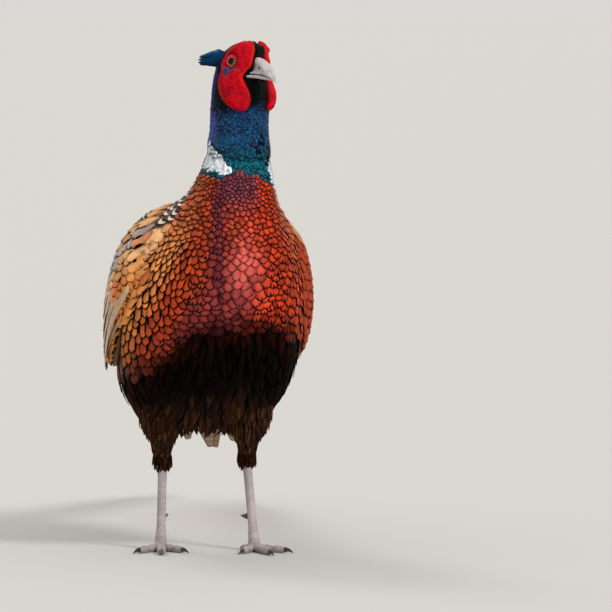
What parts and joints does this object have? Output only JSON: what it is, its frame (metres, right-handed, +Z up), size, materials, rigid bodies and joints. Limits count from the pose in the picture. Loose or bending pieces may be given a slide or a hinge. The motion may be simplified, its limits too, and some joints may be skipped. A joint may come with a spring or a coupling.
{
  "type": "pheasant",
  "caption": "Life-size cock pheasant standing alert on both feet, neck raised, folded wings and long pointed tail.",
  "frame": {"origin": "on the floor under the middle of the whole bird's box", "axes": "+Y towards the tail, -Y the way the breast faces, +X the bird's own left side, +Z up"},
  "size_m": [0.2078, 0.7044, 0.4405],
  "materials": {
    "body_plumage": "matt copper red and golden orange feathers with dark edges",
    "neck_plumage": "glossy blue green feathers with a white collar",
    "head_plumage": "short glossy dark green feathers",
    "tail_plumage": "buff brown feathers with dark bars",
    "wing_plumage": "brown and buff feathers with pale edges",
    "ear_plumage": "glossy dark blue feathers",
    "leg_plumage": "dark brown soft feathers",
    "face_skin": "bare scarlet skin with fine bumps",
    "iris": "wet glossy amber",
    "horn": "smooth pale horn",
    "claw_horn": "smooth dark horn",
    "leg_skin": "grey scaly skin"
  },
  "bodies": {
    "root": {"torso": "body_plumage", "neck": "neck_plumage", "head": "head_plumage", "bill_upper": "horn", "bill_lower": "horn", "tail": "tail_plumage", "eye_left": "iris", "wattle_left": "face_skin", "ear_tuft_left": "ear_plumage", "wing_left": "wing_plumage", "thigh_left": "leg_plumage", "shank_left": "leg_skin", "spur_left": "claw_horn", "foot_left": "leg_skin", "claw_inner_left": "claw_horn", "claw_middle_left": "claw_horn", "claw_outer_left": "claw_horn", "claw_hind_left": "claw_horn", "eye_right": "iris", "wattle_right": "face_skin", "ear_tuft_right": "ear_plumage", "wing_right": "wing_plumage", "thigh_right": "leg_plumage", "shank_right": "leg_skin", "spur_right": "claw_horn", "foot_right": "leg_skin", "claw_inner_right": "claw_horn", "claw_middle_right": "claw_horn", "claw_outer_right": "claw_horn", "claw_hind_right": "claw_horn"}
  },
  "joints": []
}
